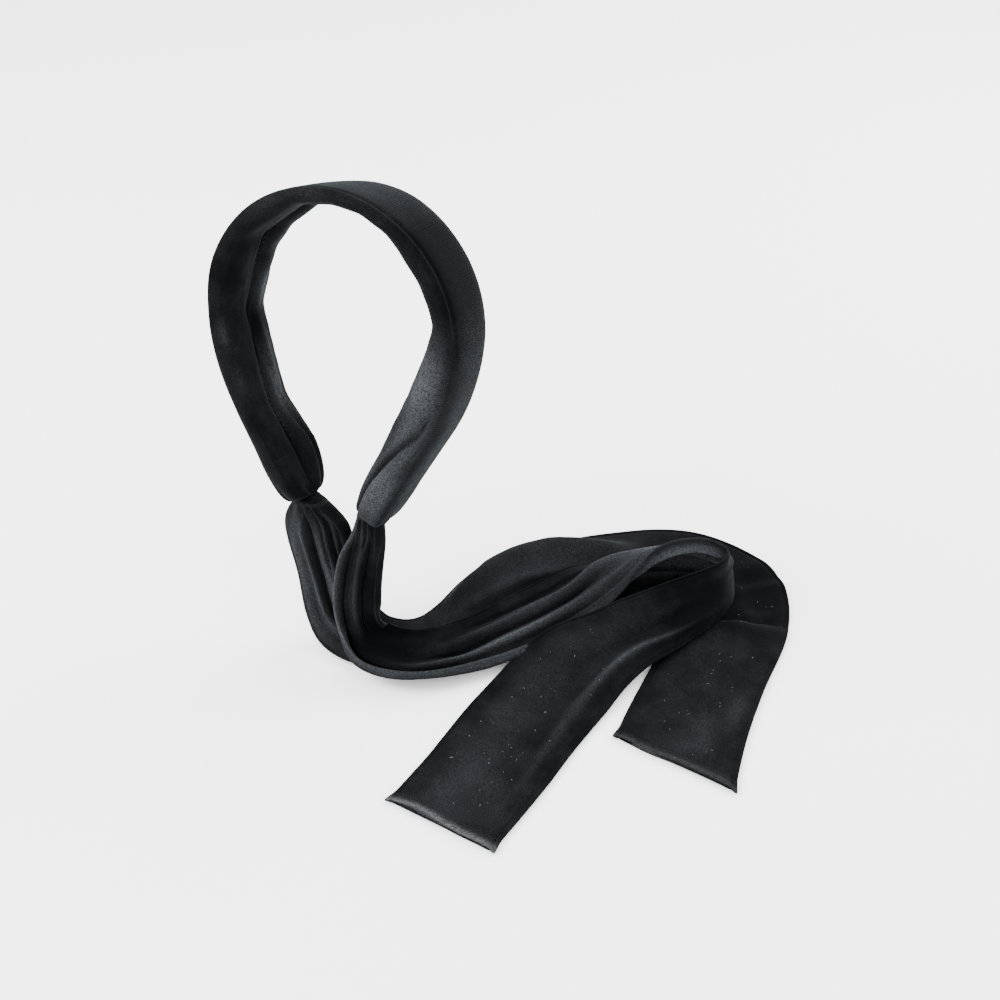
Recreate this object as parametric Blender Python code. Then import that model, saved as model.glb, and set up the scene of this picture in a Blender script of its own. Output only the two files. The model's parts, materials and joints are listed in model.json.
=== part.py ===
"""Velvet scarf headband: a padded hoop in a velvet cover, with a long velvet tail sewn to each end.

The hoop stands on its two gathered necks and leans back a little. Each tail hangs from its neck
to the table, turns and lies there. Units are metres and degrees, +Z is up, and the table is z = 0.
"""
import math

import bmesh
import bpy
from mathutils import Vector

# Hoop, measured on the cover's outer face, in the hoop's own plane
NECK_HEIGHT = 0.085
NECK_OFFSET = 0.0175
LEAN_BACK = 11.0
CROWN_RADIUS = 0.0665
CROWN_CENTRE = 0.1006
SIDE_RADIUS = 0.107
SIDE_TURN = 24.4
ARM_LENGTH = 0.039

# Cover
BAND_WIDTH = 0.034
CROWN_THICKNESS = 0.0108
ARM_THICKNESS = 0.021
COVER_WALL = 0.0014
MOUTH_WIDTH = 0.018
MOUTH_THICKNESS = 0.011
MOUTH_LIFT = 0.0098
ROUNDNESS = 0.75

# What the cover holds
FOAM_WIDTH = 0.022
FOAM_TOP = 0.0021
FOAM_SIDE = 0.0041
FOAM_BOTTOM = 0.0058
STRIP_WIDTH = 0.020
STRIP_TOP = 0.0062
STRIP_THICKNESS = 0.0015
STRIP_SHORT_OF_TAPER = 0.006
FOAM_SHORT_OF_TAPER = 0.012

# Tails
TAIL_THICKNESS = 0.0034
NECK_THICKNESS = 0.0068
NECK_STRETCH = 0.045
TAIL_CLEARANCE = 0.0004

# Thread
THREAD = 0.0006
STITCH_PITCH = 0.0052
STITCH_SWING = 0.0009
END_STITCH_INSET = 0.0035
BINDING_DROP = 0.0068
BINDING_HEIGHT = 0.0030
BINDING_WALL = 0.0009

COVER_RINGS = 56
COVER_SIDES = 16
STEPS_PER_STATION = 4

# Stations of a tail from its neck to its end. Each is the middle of the band in millimetres
# (x and y from the midpoint between the necks, z from the table), the direction across the band
# from its near edge to its far edge as a turn in plan and a rise, both in degrees, and the
# gathered width in millimetres.
LEFT_TAIL = (
    (-17.5, 0, 88, 10, 0, 17),
    (-17.5, 1, 76, 10, 0, 25),
    (-15.5, 2, 60, 10, 2, 35),
    (-13, 3, 38, 15, 8, 36),
    (-9, 2, 19, 32, 20, 36),
    (1, -1, 9.5, 62, 18, 36),
    (17, -2, 4.8, 88, 6, 36),
    (37, 4, 4.2, 105, 6, 38),
    (57, 34, 5, 122, 8, 52),
    (78, 66, 4.8, 126, 6, 60),
    (110, 96, 3.2, 122, 2, 61),
    (146, 113, 3.2, 98, 2, 62),
    (177, 104, 2.6, 55, 2, 61),
    (190, 79, 1.7, 20, 0, 60),
    (190, 42, 1.7, 2, 0, 61),
    (188, 6, 1.7, -3, 0, 62),
    (188, -24, 1.7, -10, 0, 63),
)
RIGHT_TAIL = (
    (17.5, 0, 88, 0, 0, 14),
    (16, -2, 76, 0, 0, 21),
    (12, -6, 60, 0, 0, 28),
    (10, -11, 40, 10, 4, 30),
    (11, -15, 24, 40, 12, 30),
    (21, -13, 13.5, 88, 12, 31),
    (42, -8, 10.5, 110, 9, 33),
    (66, 12, 9.5, 118, 10, 36),
    (88, 40, 10, 124, 12, 39),
    (110, 68, 14, 130, 4, 38),
    (138, 92, 20, 135, -55, 31),
    (162, 108, 20.5, 112, -74, 29),
    (178, 106, 20.5, 35, -76, 28),
    (176, 88, 20, -18, -66, 29),
    (160, 63, 17, -30, -40, 34),
    (143, 44, 12.5, -20, -13, 42),
    (128, 22, 9.5, -16, -8, 51),
    (117.5, -4, 2.6, -8, 0, 58),
    (110.5, -32, 1.7, -3, 0, 59),
    (105, -62, 1.7, -2, 0, 60),
    (96, -101, 1.7, -9, 0, 60),
)

COLOURS = {
    "velvet": ((0.010, 0.012, 0.014), 0.85),
    "thread": ((0.012, 0.012, 0.013), 0.70),
    "foam": ((0.030, 0.030, 0.032), 0.95),
    "plastic": ((0.020, 0.020, 0.022), 0.45),
}


def clear_scene():
    for thing in list(bpy.data.objects):
        bpy.data.objects.remove(thing, do_unlink=True)


def finish(name, colour, mesh_data, smooth_angle=40.0):
    """Turn a bmesh into a named object with its own material."""
    bmesh.ops.recalc_face_normals(mesh_data, faces=mesh_data.faces)
    mesh = bpy.data.meshes.new(name)
    mesh_data.to_mesh(mesh)
    mesh_data.free()
    mesh.shade_smooth()
    mesh.set_sharp_from_angle(angle=math.radians(smooth_angle))
    thing = bpy.data.objects.new(name, mesh)
    bpy.context.scene.collection.objects.link(thing)
    material = bpy.data.materials.new(name)
    material.use_nodes = True
    shader = material.node_tree.nodes["Principled BSDF"]
    base, roughness = COLOURS[colour]
    shader.inputs["Base Color"].default_value = (*base, 1.0)
    shader.inputs["Roughness"].default_value = roughness
    shader.inputs["Metallic"].default_value = 0.0
    mesh.materials.append(material)
    return thing


def bridge(mesh_data, first, second):
    count = len(first)
    for i in range(count):
        j = (i + 1) % count
        mesh_data.faces.new((first[i], first[j], second[j], second[i]))


def loft(mesh_data, rings, closed=False):
    """Skin a row of rings. A closed row joins its last ring to its first, else both are capped."""
    rows = [[mesh_data.verts.new(point) for point in ring] for ring in rings]
    for first, second in zip(rows, rows[1:]):
        bridge(mesh_data, first, second)
    if closed:
        bridge(mesh_data, rows[-1], rows[0])
    else:
        mesh_data.faces.new(rows[0])
        mesh_data.faces.new(rows[-1])


def ease(value):
    value = min(1.0, max(0.0, value))
    return value * value * (3.0 - 2.0 * value)


def mix(first, second, share):
    return first + (second - first) * share


# The hoop's plane: u runs across, v up along the lean, w from front to back
def hoop_point(u, v, w):
    lean = math.radians(LEAN_BACK)
    up = Vector((0.0, math.sin(lean), math.cos(lean)))
    back = Vector((0.0, math.cos(lean), -math.sin(lean)))
    return Vector((u, 0.0, NECK_HEIGHT)) + up * v + back * w


CROWN_ARC = CROWN_RADIUS * math.pi / 2
SIDE_ARC = SIDE_RADIUS * math.radians(SIDE_TURN)
FULL_ARC = CROWN_ARC + SIDE_ARC + ARM_LENGTH


def outer_line(arc):
    """Outer face of the cover: the point and its outward direction, for an arc from the top."""
    side = 1.0 if arc >= 0.0 else -1.0
    arc = abs(arc)
    if arc <= CROWN_ARC:
        turn = arc / CROWN_RADIUS
        u = CROWN_RADIUS * math.sin(turn)
        v = CROWN_CENTRE + CROWN_RADIUS * math.cos(turn)
    else:
        bend = min(arc - CROWN_ARC, SIDE_ARC) / SIDE_RADIUS
        run = max(0.0, arc - CROWN_ARC - SIDE_ARC)
        turn = math.pi / 2 + bend
        u = CROWN_RADIUS - SIDE_RADIUS + SIDE_RADIUS * math.cos(bend) - run * math.sin(bend)
        v = CROWN_CENTRE - SIDE_RADIUS * math.sin(bend) - run * math.cos(bend)
    return Vector((side * u, v)), Vector((side * math.sin(turn), math.cos(turn)))


def cover_thickness(arc):
    share = ease((abs(arc) - CROWN_ARC * 0.75) / (FULL_ARC - CROWN_ARC * 0.75))
    return mix(CROWN_THICKNESS, ARM_THICKNESS, share)


def cover_ring(arc, taper, inset):
    """One ring of the cover. Along the taper the ring closes in on the mouth above the neck."""
    side = 1.0 if arc >= 0.0 else -1.0
    point, out = outer_line(arc)
    thickness = cover_thickness(arc)
    middle = point - out * (thickness / 2)
    neck = Vector((side * NECK_OFFSET, 0.0))
    mouth = neck + (middle - neck).normalized() * MOUTH_LIFT
    close = 1.0 - math.sqrt(max(0.0, 1.0 - taper * taper)) if taper < 1.0 else 1.0
    middle = middle.lerp(mouth, taper)
    half_width = mix(BAND_WIDTH, MOUTH_WIDTH, close) / 2 - inset
    half_depth = mix(thickness, MOUTH_THICKNESS, close) / 2 - inset
    ring = []
    for i in range(COVER_SIDES):
        angle = 2 * math.pi * i / COVER_SIDES
        across = math.copysign(abs(math.cos(angle)) ** ROUNDNESS, math.cos(angle))
        depth = math.copysign(abs(math.sin(angle)) ** ROUNDNESS, math.sin(angle))
        uv = middle + out * (depth * half_depth)
        ring.append(hoop_point(uv.x, uv.y, across * half_width))
    return ring


def cover_arcs():
    """Arc and taper of each ring, from the left mouth over the crown to the right mouth."""
    tapers = (1.0, 0.94, 0.8, 0.6, 0.4, 0.2)
    row = [(-FULL_ARC, taper) for taper in tapers]
    for i in range(COVER_RINGS + 1):
        row.append((mix(-FULL_ARC, FULL_ARC, i / COVER_RINGS), 0.0))
    row += [(FULL_ARC, taper) for taper in reversed(tapers)]
    return row


def make_cover():
    mesh_data = bmesh.new()
    row = cover_arcs()
    outside = [cover_ring(arc, taper, 0.0) for arc, taper in row]
    inside = [cover_ring(arc, taper, COVER_WALL) for arc, taper in row]
    loft(mesh_data, outside + inside[::-1], closed=True)
    finish("velvet_cover", "velvet", mesh_data)


def sweep_under_cover(name, colour, section, half_arc, narrowing):
    """Sweep a section, given as (across, depth below the cover's outer face), along the hoop."""
    mesh_data = bmesh.new()
    rings = []
    for i in range(COVER_RINGS + 1):
        arc = mix(-half_arc, half_arc, i / COVER_RINGS)
        point, out = outer_line(arc)
        from_end = (half_arc - abs(arc)) / narrowing
        width = 0.55 + 0.45 * math.sqrt(min(1.0, max(0.0, from_end)))
        ring = []
        for across, depth in section:
            uv = point - out * depth
            ring.append(hoop_point(uv.x, uv.y, across * width))
        rings.append(ring)
    loft(mesh_data, rings)
    finish(name, colour, mesh_data)


def make_strip():
    half = STRIP_WIDTH / 2
    low = STRIP_TOP + STRIP_THICKNESS
    section = ((-half, STRIP_TOP), (half, STRIP_TOP), (half, low), (-half, low))
    sweep_under_cover("springy_strip", "plastic", section, FULL_ARC - STRIP_SHORT_OF_TAPER, 0.012)


def make_foam():
    half = FOAM_WIDTH / 2
    section = [(-half, FOAM_BOTTOM)]
    for share in (-1.0, -0.6, 0.0, 0.6, 1.0):
        section.append((half * share, mix(FOAM_TOP, FOAM_SIDE, share * share)))
    section.append((half, FOAM_BOTTOM))
    sweep_under_cover("foam_pad", "foam", section, FULL_ARC - FOAM_SHORT_OF_TAPER, 0.010)


def smooth(values, position):
    """Read a smooth curve through a list of numbers at a fractional place in the list."""
    last = len(values) - 1
    i = min(int(position), last - 1)
    t = position - i
    before = values[max(0, i - 1)]
    start = values[i]
    end = values[i + 1]
    after = values[min(last, i + 2)]
    pull = 2 * before - 5 * start + 4 * end - after
    turn = 3 * (start - end) + after - before
    return start + 0.5 * t * (end - before + t * (pull + t * turn))


def tail_frame(stations, position):
    """Middle, across direction, face direction and half width at a place along a tail."""
    x, y, z, turn, rise, width = (smooth([s[k] for s in stations], position) for k in range(6))
    ahead = min(len(stations) - 1.0, position + 0.05)
    behind = max(0.0, position - 0.05)
    run = Vector([smooth([s[k] for s in stations], ahead) for k in range(3)])
    run -= Vector([smooth([s[k] for s in stations], behind) for k in range(3)])
    run.normalize()
    turn = math.radians(turn)
    rise = math.radians(rise)
    flat = math.cos(rise)
    across = Vector((math.cos(turn) * flat, math.sin(turn) * flat, math.sin(rise)))
    face = run.cross(across).normalized()
    return Vector((x, y, z)) / 1000, across, face, width / 2000


def tail_ring(stations, position, drop):
    """A flat-sided ring. drop is the length run from the neck, where the band is thicker."""
    middle, across, face, half = tail_frame(stations, position)
    thick = mix(NECK_THICKNESS, TAIL_THICKNESS, ease(drop / NECK_STRETCH)) / 2
    edge = half - thick * 0.6
    outline = ((-half, 0), (-edge, thick), (0, thick), (edge, thick), (half, 0))
    outline += ((edge, -thick), (0, -thick), (-edge, -thick))
    ring = []
    for a, f in outline:
        point = middle + across * a + face * f
        point.z = max(0.0, point.z)
        ring.append(point)
    return ring


def tail_places(stations):
    """Places along the tail, and the length run to each."""
    count = (len(stations) - 1) * STEPS_PER_STATION
    places = [i / STEPS_PER_STATION for i in range(count + 1)]
    lengths = [0.0]
    last = tail_frame(stations, 0.0)[0]
    for place in places[1:]:
        middle = tail_frame(stations, place)[0]
        lengths.append(lengths[-1] + (middle - last).length)
        last = middle
    return places, lengths


def make_tail(name, stations):
    mesh_data = bmesh.new()
    places, lengths = tail_places(stations)
    rings = [tail_ring(stations, place, length) for place, length in zip(places, lengths)]
    loft(mesh_data, rings)
    finish(name, "velvet", mesh_data)
    return lengths[-1]


def thread_ring(centre, first, second):
    """A six-sided section of thread, in the plane of two directions."""
    ring = []
    for i in range(6):
        angle = math.pi * i / 3
        offset = first * math.cos(angle) + second * math.sin(angle)
        ring.append(centre + offset * (THREAD / 2))
    return ring


def make_cover_seam():
    """Overcast stitches that close the cover along the middle of its inner face."""
    mesh_data = bmesh.new()
    reach = FULL_ARC - STITCH_PITCH
    count = int(2 * reach / STITCH_PITCH) * 2
    back = hoop_point(0.0, 0.0, 1.0) - hoop_point(0.0, 0.0, 0.0)
    rings = []
    for i in range(count + 1):
        arc = mix(-reach, reach, i / count)
        point, out = outer_line(arc)
        inner = point - out * (cover_thickness(arc) + THREAD / 2 + TAIL_CLEARANCE)
        swing = STITCH_SWING if i % 2 else -STITCH_SWING
        outward = hoop_point(out.x, out.y, 0.0) - hoop_point(0.0, 0.0, 0.0)
        rings.append(thread_ring(hoop_point(inner.x, inner.y, swing), outward, back))
    loft(mesh_data, rings)
    finish("cover_seam_thread", "thread", mesh_data)


def make_end_stitches(name, stations):
    """The zigzag thread that closes the tail's end, on its upper face."""
    mesh_data = bmesh.new()
    last = len(stations) - 1.0
    middle, across, face, half = tail_frame(stations, last)
    back = (tail_frame(stations, last - 0.2)[0] - middle).normalized()
    up = face if face.z > 0.0 else -face
    row = middle + back * END_STITCH_INSET
    row += up * (TAIL_THICKNESS / 2 + THREAD / 2 + TAIL_CLEARANCE)
    reach = half - 0.004
    count = int(2 * reach / STITCH_PITCH) * 2
    rings = []
    for i in range(count + 1):
        swing = STITCH_SWING if i % 2 else -STITCH_SWING
        centre = row + across * mix(-reach, reach, i / count) + back * swing
        rings.append(thread_ring(centre, back, up))
    loft(mesh_data, rings)
    finish(name, "thread", mesh_data)


def make_tail_seam(name, stations):
    """The lengthwise seam of the velvet tube: one thread along its near edge."""
    mesh_data = bmesh.new()
    places, lengths = tail_places(stations)
    rings = []
    for place, length in zip(places, lengths):
        if length < 0.012:
            continue
        middle, across, face, half = tail_frame(stations, place)
        centre = middle - across * (half + THREAD / 2 + TAIL_CLEARANCE)
        rings.append(thread_ring(centre, across, face))
    loft(mesh_data, rings)
    finish(name, "thread", mesh_data)


def make_binding(name, stations):
    """Thread wound round the gathered neck of a tail, as one flat ring."""
    mesh_data = bmesh.new()
    middle, across, face, half = tail_frame(stations, 0.65)
    run = across.cross(face).normalized()
    inner_half = half + TAIL_CLEARANCE + 0.0012
    inner_thick = NECK_THICKNESS / 2 + TAIL_CLEARANCE + 0.0002
    rings = []
    corners = ((0.0, -1), (BINDING_WALL, -1), (BINDING_WALL, 1), (0.0, 1))
    for out, end in corners:
        ring = []
        for i in range(20):
            angle = 2 * math.pi * i / 20
            a = math.copysign(abs(math.cos(angle)) ** 0.6, math.cos(angle)) * (inner_half + out)
            f = math.copysign(abs(math.sin(angle)) ** 0.6, math.sin(angle)) * (inner_thick + out)
            ring.append(middle + across * a + face * f + run * (end * BINDING_HEIGHT / 2))
        rings.append(ring)
    loft(mesh_data, rings, closed=True)
    finish(name, "thread", mesh_data)


def centre_on_origin():
    """Stand the whole headband on z = 0 with the middle of its box over the origin."""
    corners = []
    for thing in bpy.data.objects:
        corners += [vertex.co.copy() for vertex in thing.data.vertices]
    low = [min(corner[k] for corner in corners) for k in range(3)]
    high = [max(corner[k] for corner in corners) for k in range(3)]
    shift = Vector((-(low[0] + high[0]) / 2, -(low[1] + high[1]) / 2, -low[2]))
    for thing in bpy.data.objects:
        for vertex in thing.data.vertices:
            vertex.co += shift
    return shift


def set_origin(names, point):
    """Move the objects' origins to a point without moving their shapes."""
    for name in names:
        thing = bpy.data.objects[name]
        for vertex in thing.data.vertices:
            vertex.co -= point
        thing.location = point


def main():
    clear_scene()
    make_strip()
    make_foam()
    make_cover()
    make_cover_seam()
    for side, stations in (("left", LEFT_TAIL), ("right", RIGHT_TAIL)):
        length = make_tail(side + "_tail", stations)
        make_tail_seam(side + "_tail_seam", stations)
        make_end_stitches(side + "_tail_end_thread", stations)
        make_binding(side + "_neck_binding", stations)
        print(side, "tail length", round(length, 4))
    shift = centre_on_origin()
    left_axis = shift + Vector((-NECK_OFFSET, 0.0, NECK_HEIGHT))
    right_axis = shift + Vector((NECK_OFFSET, 0.0, NECK_HEIGHT))
    set_origin(("springy_strip", "foam_pad", "velvet_cover", "cover_seam_thread"), left_axis)
    right = ("right_tail", "right_tail_seam", "right_tail_end_thread", "right_neck_binding")
    set_origin(right, right_axis)
    print("shift", [round(value, 5) for value in shift])
    print("left axis", [round(value, 5) for value in left_axis])
    print("right axis", [round(value, 5) for value in right_axis])


main()
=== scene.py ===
import json
import math

import bmesh
import bpy
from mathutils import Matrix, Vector, noise


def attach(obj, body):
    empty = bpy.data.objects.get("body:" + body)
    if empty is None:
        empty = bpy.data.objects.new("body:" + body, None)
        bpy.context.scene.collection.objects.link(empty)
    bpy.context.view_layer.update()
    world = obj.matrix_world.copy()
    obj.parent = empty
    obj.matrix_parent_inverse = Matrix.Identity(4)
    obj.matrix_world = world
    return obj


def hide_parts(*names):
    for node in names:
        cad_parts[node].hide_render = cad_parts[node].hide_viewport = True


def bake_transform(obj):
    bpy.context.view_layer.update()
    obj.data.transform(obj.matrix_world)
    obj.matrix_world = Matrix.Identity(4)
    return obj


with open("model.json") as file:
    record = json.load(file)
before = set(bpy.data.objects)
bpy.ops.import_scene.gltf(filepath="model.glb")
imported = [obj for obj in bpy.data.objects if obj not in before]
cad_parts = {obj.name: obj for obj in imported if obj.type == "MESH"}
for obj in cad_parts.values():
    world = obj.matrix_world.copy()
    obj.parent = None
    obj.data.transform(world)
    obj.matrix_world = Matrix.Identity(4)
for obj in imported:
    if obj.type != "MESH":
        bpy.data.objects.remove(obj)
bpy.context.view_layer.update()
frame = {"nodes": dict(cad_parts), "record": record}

# Black velvet scarf headband: a padded hoop in a stretched velvet cover and two long velvet tails.
# Lengths are metres unless a name ends in Mm. Angles are degrees.

scene = bpy.context.scene
joints = {joint["name"]: joint for joint in frame["record"]["behaviour"]["joints"]}
leftNeck = Vector(joints["left_neck_hinge"]["pos_m"])
rightNeck = Vector(joints["right_neck_hinge"]["pos_m"])
neckMiddle = (leftNeck + rightNeck) / 2
tableSpot = Vector((neckMiddle.x, neckMiddle.y, 0.0))  # the tails' routes are measured from here
print("frame loaded, necks at", [round(value, 4) for value in neckMiddle])


def ease(value):
    value = min(1.0, max(0.0, value))
    return value * value * (3.0 - 2.0 * value)


def mix(first, second, share):
    return first + (second - first) * share


def bump(value, middle, width):
    return math.exp(-((value - middle) / width) ** 2)


def turnAt(share, crowd):
    # an angle that moves slowly across the flat faces of a section, so that they get more points
    turn = 2 * math.pi * share
    return turn + crowd * math.sin(2 * turn) / 2


def power(value, exponent):
    return math.copysign(abs(value) ** exponent, value)


def readTable(rows, place, column):
    # a value between the rows of a table whose first column rises
    if place <= rows[0][0]:
        return rows[0][column]
    for low, high in zip(rows, rows[1:]):
        if place <= high[0]:
            return mix(low[column], high[column], ease((place - low[0]) / (high[0] - low[0])))
    return rows[-1][column]


def curveThrough(values, position):
    # a smooth curve through a list of numbers, read at a fractional place in the list
    last = len(values) - 1
    i = min(int(position), last - 1)
    t = position - i
    before, start, end = values[max(0, i - 1)], values[i], values[i + 1]
    after = values[min(last, i + 2)]
    pull = 2 * before - 5 * start + 4 * end - after
    turn = 3 * (start - end) + after - before
    return start + 0.5 * t * (end - before + t * (pull + t * turn))


def linear(hexColour):
    # sRGB hex to the linear numbers that shaders take
    parts = [int(hexColour[i:i + 2], 16) / 255 for i in (0, 2, 4)]
    parts = [c / 12.92 if c <= 0.04045 else ((c + 0.055) / 1.055) ** 2.4 for c in parts]
    return (*parts, 1.0)


def addObject(name, mesh):
    thing = bpy.data.objects.new(name, mesh)
    scene.collection.objects.link(thing)
    return thing


def loftMesh(name, rings, clothUv, marks, closed=False):
    # Skins rows of points. clothUv gives each point its place on the cloth in metres, and marks are
    # point attributes, one number a point.
    count = len(rings[0])
    verts = [point for ring in rings for point in ring]
    faces = []
    rowPairs = [(i, i + 1) for i in range(len(rings) - 1)]
    if closed:
        rowPairs.append((len(rings) - 1, 0))
    for first, second in rowPairs:
        for i in range(count):
            j = (i + 1) % count
            faces.append((first * count + i, first * count + j, second * count + j, second * count + i))
    if not closed:
        faces.append(tuple(range(count))[::-1])
        faces.append(tuple(range((len(rings) - 1) * count, len(rings) * count)))
    mesh = bpy.data.meshes.new(name)
    mesh.from_pydata(verts, [], faces)
    uvLayer = mesh.uv_layers.new(name="cloth")
    for loop in mesh.loops:
        uvLayer.data[loop.index].uv = clothUv[loop.vertex_index]
    for markName, values in marks.items():
        layer = mesh.attributes.new(markName, "FLOAT", "POINT")
        layer.data.foreach_set("value", values)
    shell = bmesh.new()
    shell.from_mesh(mesh)
    bmesh.ops.recalc_face_normals(shell, faces=shell.faces)
    shell.to_mesh(mesh)
    shell.free()
    mesh.shade_smooth()
    return mesh


def node(tree, kind, settings=None, links=None):
    # adds a node: settings are its own properties or input values, links are (input, output socket)
    made = tree.nodes.new(kind)
    for key, value in (settings or {}).items():
        if isinstance(key, str) and hasattr(made, key):
            setattr(made, key, value)
        else:
            made.inputs[key].default_value = value
    for key, socket in (links or {}).items():
        tree.links.new(socket, made.inputs[key])
    return made


def newMaterial(name):
    material = bpy.data.materials.new(name)
    material.use_nodes = True
    tree = material.node_tree
    shader = tree.nodes["Principled BSDF"]
    return material, tree, shader


velvetLook = {
    "pileDark": "010102",
    "pileMid": "050606",
    # the stroked-up pile's grey, which also serves as the painted light on the pile
    "brushedPileAndPaintedLight": "3a3c3f",
    "fuzz": "5a5b5d",
    "sheenTint": "8fa0ac",
    "sheenWeight": 0.08,
    "sheenRoughness": 0.24,
    "roughness": 0.85,
    "patchLift": 0.07,
    "grainLow": 0.22,
    "grainHigh": 2.0,
    "reliefMm": 0.3,
    "napPatchMm": 17.0,
    "grainMm": 0.62,  # single tufts are far finer: drawn this coarse so that the pile shows
    "tuftMm": 0.45,
    "ribMm": 1.2,  # knit wales are about 0.5 mm: drawn coarser so that they show
}


def makeVelvet(name, look):
    # Stretch velvet, knitted and then sheared: a pile that is nearly black face on and greyer where it
    # was stroked against the nap and where painted light lies, darker where painted shade lies, a soft
    # grain, and knit ribs where it is pulled tight.
    material, tree, shader = newMaterial(name)
    uv = node(tree, "ShaderNodeUVMap", {"uv_map": "cloth"})
    clothMm = node(tree, "ShaderNodeVectorMath", {"operation": "SCALE", "Scale": 1000.0},
                   {0: uv.outputs["UV"]})
    coords = node(tree, "ShaderNodeTexCoord")
    objectMm = node(tree, "ShaderNodeVectorMath", {"operation": "SCALE", "Scale": 1000.0},
                    {0: coords.outputs["Object"]})
    napAndPaintedLight, taut, fuzz = [node(tree, "ShaderNodeAttribute", {"attribute_name": mark})
                       for mark in ("napAndPaintedLight", "taut", "fuzz")]
    sizes = ((look["napPatchMm"], 4.0, 0.62), (look["grainMm"], 3.0, 0.75), (look["tuftMm"], 2.0, 0.7))
    patches, grain, tufts = [
        node(tree, "ShaderNodeTexNoise", {"Scale": 1.0 / size, "Detail": detail, "Roughness": rough},
             {"Vector": objectMm.outputs[0]}) for size, detail, rough in sizes]
    # how far the pile is stroked up, with painted light and painted shade added in: the painted mark,
    # give or take a patch, broken up by the grain
    patchShare = node(tree, "ShaderNodeMapRange",
                      {"From Min": 0.38, "From Max": 0.68, "To Min": 0.0, "To Max": look["patchLift"]},
                      {"Value": patches.outputs["Fac"]})
    lift = node(tree, "ShaderNodeMath", {"operation": "ADD"},
                {0: patchShare.outputs[0], 1: napAndPaintedLight.outputs["Fac"]})
    grainShare = node(tree, "ShaderNodeMapRange",
                      {"From Min": 0.38, "From Max": 0.68, "To Min": look["grainLow"],
                       "To Max": look["grainHigh"]},
                      {"Value": grain.outputs["Fac"]})
    strokedAndPaintedLight = node(tree, "ShaderNodeMath", {"operation": "MULTIPLY", "use_clamp": True},
                   {0: lift.outputs[0], 1: grainShare.outputs[0]})
    pile = node(tree, "ShaderNodeMix", {"data_type": "RGBA", 6: linear(look["pileDark"]),
                                        7: linear(look["pileMid"])}, {0: grain.outputs["Fac"]})
    brushedAndPaintedLight = node(tree, "ShaderNodeMix", {"data_type": "RGBA", 7: linear(look["brushedPileAndPaintedLight"])},
                   {0: strokedAndPaintedLight.outputs[0], 6: pile.outputs[2]})
    fuzzShare = node(tree, "ShaderNodeMath", {"operation": "MULTIPLY", "use_clamp": True},
                     {0: fuzz.outputs["Fac"], 1: grainShare.outputs[0]})
    colour = node(tree, "ShaderNodeMix", {"data_type": "RGBA", 7: linear(look["fuzz"])},
                  {0: fuzzShare.outputs[0], 6: brushedAndPaintedLight.outputs[2]})
    # knit ribs, a sine across the cloth's first direction
    split = node(tree, "ShaderNodeSeparateXYZ", None, {0: clothMm.outputs[0]})
    ribPhase = node(tree, "ShaderNodeMath",
                    {"operation": "MULTIPLY", 1: 2 * math.pi / look["ribMm"]},
                    {0: split.outputs["X"]})
    rib = node(tree, "ShaderNodeMath", {"operation": "SINE"}, {0: ribPhase.outputs[0]})
    ribShown = node(tree, "ShaderNodeMath", {"operation": "MULTIPLY"},
                    {0: rib.outputs[0], 1: taut.outputs["Fac"]})
    tuftHeight = node(tree, "ShaderNodeMath", {"operation": "MULTIPLY", 1: 1.8},
                      {0: tufts.outputs["Fac"]})
    height = node(tree, "ShaderNodeMath", {"operation": "MULTIPLY_ADD", 1: 0.55},
                  {0: ribShown.outputs[0], 2: tuftHeight.outputs[0]})
    relief = node(tree, "ShaderNodeBump", {"Strength": 0.55, "Distance": look["reliefMm"] / 1000},
                  {"Height": height.outputs[0]})
    roughness = node(tree, "ShaderNodeMapRange",
                     {"From Min": 0.3, "From Max": 0.7, "To Min": look["roughness"] - 0.08,
                      "To Max": look["roughness"] + 0.1}, {"Value": tufts.outputs["Fac"]})
    tree.links.new(colour.outputs[2], shader.inputs["Base Color"])
    tree.links.new(roughness.outputs[0], shader.inputs["Roughness"])
    tree.links.new(relief.outputs[0], shader.inputs["Normal"])
    shader.inputs["Specular IOR Level"].default_value = 0.03
    shader.inputs["Sheen Weight"].default_value = look["sheenWeight"]
    shader.inputs["Sheen Roughness"].default_value = look["sheenRoughness"]
    shader.inputs["Sheen Tint"].default_value = linear(look["sheenTint"])
    return material


def makePlain(name, colour, speckle, roughness, speckMm):
    # a base colour broken up by a fine speckle, for thread, foam, moulded plastic and lint
    material, tree, shader = newMaterial(name)
    coords = node(tree, "ShaderNodeTexCoord")
    specks = node(tree, "ShaderNodeTexNoise", {"Scale": 1000.0 / speckMm, "Detail": 3.0},
                  {"Vector": coords.outputs["Object"]})
    shades = node(tree, "ShaderNodeMix",
                  {"data_type": "RGBA", 6: linear(colour), 7: linear(speckle)},
                  {0: specks.outputs["Fac"]})
    relief = node(tree, "ShaderNodeBump", {"Strength": 0.4, "Distance": speckMm / 4000},
                  {"Height": specks.outputs["Fac"]})
    tree.links.new(shades.outputs[2], shader.inputs["Base Color"])
    tree.links.new(relief.outputs[0], shader.inputs["Normal"])
    shader.inputs["Roughness"].default_value = roughness
    shader.inputs["Specular IOR Level"].default_value = 0.15
    return material


velvet = makeVelvet("stretchVelvet", velvetLook)
# spun thread is matt with a faint twist, foam is a matt open sponge, and moulded plastic is smoother
threadMaterial = makePlain("spunPolyesterThread", "040405", "0e0f10", 0.8, 0.3)
foamMaterial = makePlain("openCellFoam", "2e2f31", "17181a", 0.95, 0.8)
stripMaterial = makePlain("mouldedSpringPlastic", "121314", "1b1c1e", 0.42, 0.5)
lintMaterial = makePlain("cottonLint", "77797a", "5a5c5d", 0.9, 0.3)
print("materials made")


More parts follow.
